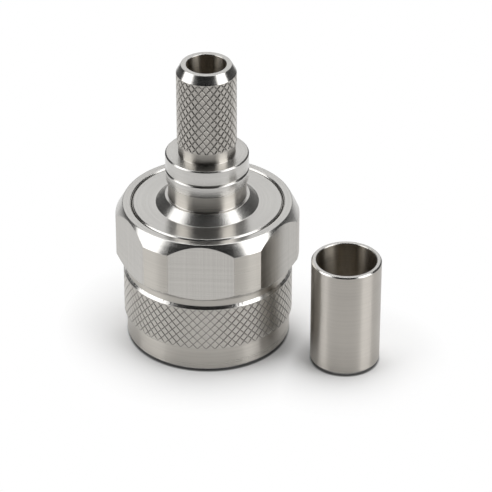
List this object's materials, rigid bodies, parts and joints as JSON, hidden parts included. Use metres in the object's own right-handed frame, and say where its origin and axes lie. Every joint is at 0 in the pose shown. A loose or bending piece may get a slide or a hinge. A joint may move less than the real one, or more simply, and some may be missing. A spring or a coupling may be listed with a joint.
{
  "type": "n type connector",
  "caption": "Straight coaxial crimp plug: hexagon coupling nut with a knurled grip, turned body, knurled crimp stem, centre pin and a loose crimp ferrule standing beside it.",
  "frame": {"origin": "on the plug's axis, in the plane of the coupling nut's front rim, which the plug stands on", "axes": "+Z along the plug's axis from the mating face to the cable end, X through two corners of the hexagon, -Y square to the hexagon's flat that faces the viewer"},
  "size_m": [0.0297, 0.019, 0.0336],
  "materials": {
    "nut_metal": "bright nickel plate on brass, satin on the hexagon's flats, knurled on the grip",
    "body_metal": "bright nickel plate on turned brass",
    "stem_metal": "bright nickel plate on turned and knurled brass",
    "ferrule_metal": "nickel plate with fine turning marks",
    "contact_metal": "bright nickel plate",
    "spring_wire": "bright spring steel",
    "gold_plate": "gold plate on brass",
    "insulator_plastic": "white PTFE",
    "gasket_rubber": "matt silicone rubber"
  },
  "bodies": {
    "plug": {"connector_body": "body_metal", "outer_contact": "contact_metal", "gasket": "gasket_rubber", "centre_contact": "gold_plate", "front_insulator": "insulator_plastic", "rear_insulator": "insulator_plastic", "crimp_stem": "stem_metal", "snap_ring": "spring_wire", "crimp_ferrule": "ferrule_metal"},
    "nut": {"coupling_nut": "nut_metal"}
  },
  "joints": [
    {"name": "nut_spin", "type": "hinge", "parent": "plug", "child": "nut", "pos_m": [0, 0, 0.0139], "axis": [0, 0, 1], "continuous": true}
  ]
}
